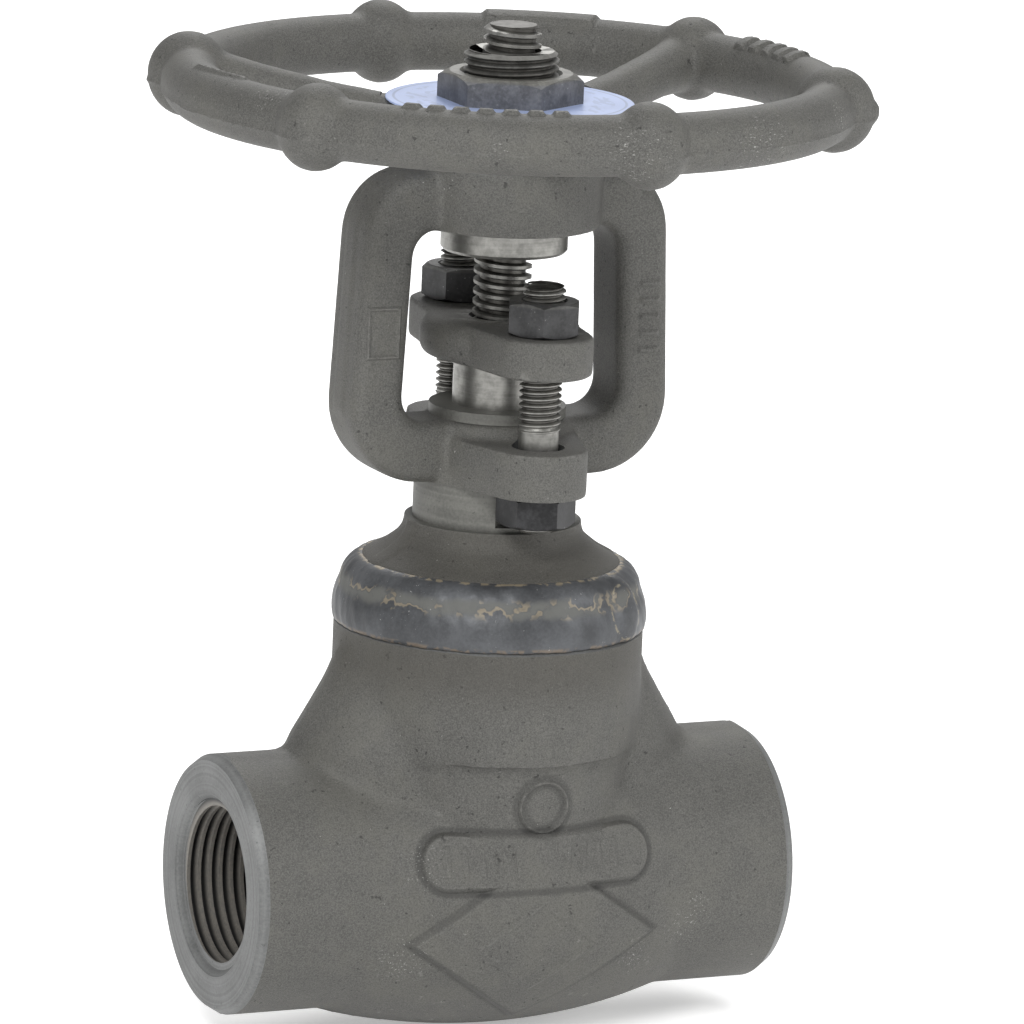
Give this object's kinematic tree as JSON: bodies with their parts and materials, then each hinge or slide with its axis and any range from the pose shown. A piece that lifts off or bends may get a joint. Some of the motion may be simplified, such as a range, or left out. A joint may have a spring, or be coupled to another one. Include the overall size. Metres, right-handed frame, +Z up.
{
  "type": "globe valve",
  "caption": "Forged steel globe valve with threaded ends, welded bonnet, integral yoke, bolted gland and a round handwheel that raises the stem through a yoke sleeve.",
  "frame": {"origin": "under the stem axis at the lowest point of the body", "axes": "+X along the run from the inlet port to the outlet port, +Z up along the stem, -Y is the front with the raised diamond"},
  "size_m": [0.1314, 0.1376, 0.1931],
  "materials": {
    "forged_steel": "shot-blasted and phosphated, dark olive grey",
    "weld_metal": "oxidised weld bead with slag patches",
    "bright_steel": "turned, bare and lightly oiled",
    "black_bolting": "black oxide",
    "nut_steel": "dull zinc, worn",
    "seat_alloy": "lapped stainless",
    "graphite": "moulded graphite",
    "plate_blue": "light blue thin sheet"
  },
  "bodies": {
    "valve_body": {"body": "forged_steel", "seat_ring": "seat_alloy", "bonnet_yoke": "forged_steel", "bonnet_weld": "weld_metal", "packing_washer": "bright_steel", "packing_ring_1": "graphite", "packing_ring_2": "graphite", "packing_ring_3": "graphite", "packing_ring_4": "graphite", "packing_ring_5": "graphite", "gland_bolt_front": "black_bolting", "gland_bolt_rear": "black_bolting"},
    "wheel_set": {"yoke_sleeve": "bright_steel", "handwheel": "forged_steel", "identification_plate": "plate_blue", "handwheel_nut": "nut_steel"},
    "closure": {"stem": "bright_steel", "disc": "bright_steel"},
    "gland_set": {"gland": "bright_steel", "gland_flange": "forged_steel"},
    "nut_front": {"gland_nut_front": "black_bolting"},
    "nut_rear": {"gland_nut_rear": "black_bolting"}
  },
  "joints": [
    {"name": "handwheel_turn", "type": "hinge", "parent": "valve_body", "child": "wheel_set", "pos_m": [0, 0, 0.178], "axis": [0, 0, 1], "range_deg": [0, 1800]},
    {"name": "stem_lift", "type": "slide", "parent": "valve_body", "child": "closure", "axis": [0, 0, 1], "range_m": [0, 0.01]},
    {"name": "gland_takeup", "type": "slide", "parent": "valve_body", "child": "gland_set", "axis": [0, 0, -1], "range_m": [0, 0.003], "deforming": ["packing_ring_1", "packing_ring_2", "packing_ring_3", "packing_ring_4", "packing_ring_5"]},
    {"name": "gland_nut_front_turn", "type": "hinge", "parent": "gland_set", "child": "nut_front", "pos_m": [0, -0.019, 0.1408], "axis": [0, 0, -1], "range_deg": [0, 864]},
    {"name": "gland_nut_rear_turn", "type": "hinge", "parent": "gland_set", "child": "nut_rear", "pos_m": [0, 0.019, 0.1408], "axis": [0, 0, -1], "range_deg": [0, 864]}
  ],
  "couplings": [
    {"joint": "stem_lift", "follows": "handwheel_turn", "m_per_rad": 0.00031831},
    {"joint": "gland_nut_front_turn", "follows": "gland_takeup", "rad_per_m": 5026.5},
    {"joint": "gland_nut_rear_turn", "follows": "gland_takeup", "rad_per_m": 5026.5}
  ]
}
